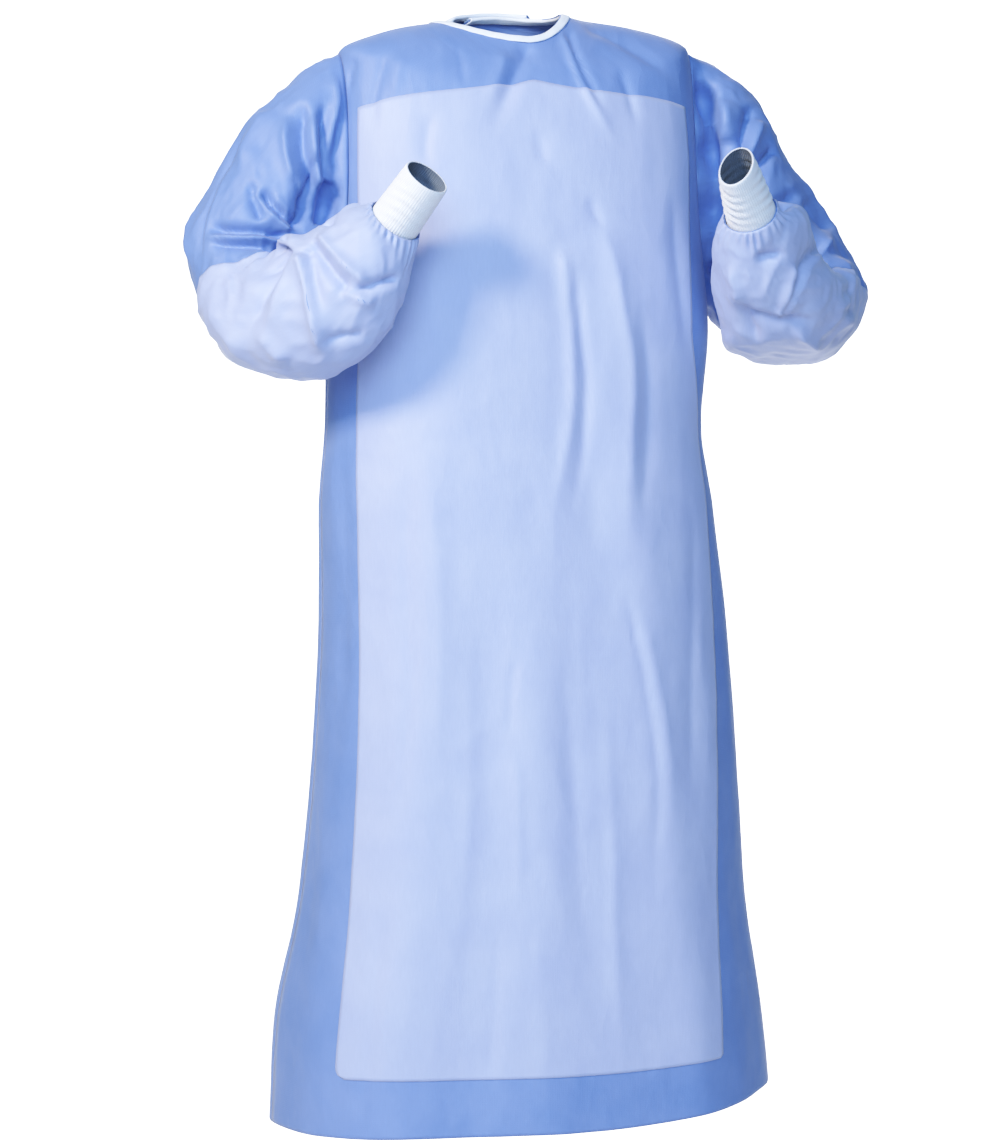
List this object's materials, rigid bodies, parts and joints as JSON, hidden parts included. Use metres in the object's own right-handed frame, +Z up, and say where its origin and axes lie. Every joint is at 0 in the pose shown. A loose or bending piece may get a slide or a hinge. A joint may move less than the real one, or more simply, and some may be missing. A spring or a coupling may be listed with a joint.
{
  "type": "surgical gown",
  "caption": "Long wraparound surgical gown in blue nonwoven, worn form, with light reinforced front and forearms, knit cuffs, bound neck and tied back.",
  "frame": {"origin": "middle of the shoulder line, inside the neck, where the wearer holds the gown up", "axes": "+Z up, the wearer faces -Y, the wearer's left is +X"},
  "size_m": [0.7812, 0.4489, 1.2499],
  "materials": {
    "blue_cloth": "soft bonded nonwoven, slightly satin",
    "light_blue_film": "smooth laminated nonwoven, low sheen",
    "white_knit": "rib knit, matt",
    "white_tape": "soft folded tape, matt"
  },
  "bodies": {
    "root": {"front_body": "blue_cloth", "back_right": "blue_cloth", "back_left": "blue_cloth", "front_reinforcement": "light_blue_film", "sleeve_right": "blue_cloth", "sleeve_left": "blue_cloth", "sleeve_reinforcement_right": "light_blue_film", "sleeve_reinforcement_left": "light_blue_film", "cuff_right": "white_knit", "cuff_left": "white_knit", "neck_binding": "white_tape", "neck_tab": "white_tape", "waist_tie_flap": "blue_cloth", "waist_tie_side": "blue_cloth"}
  },
  "joints": []
}
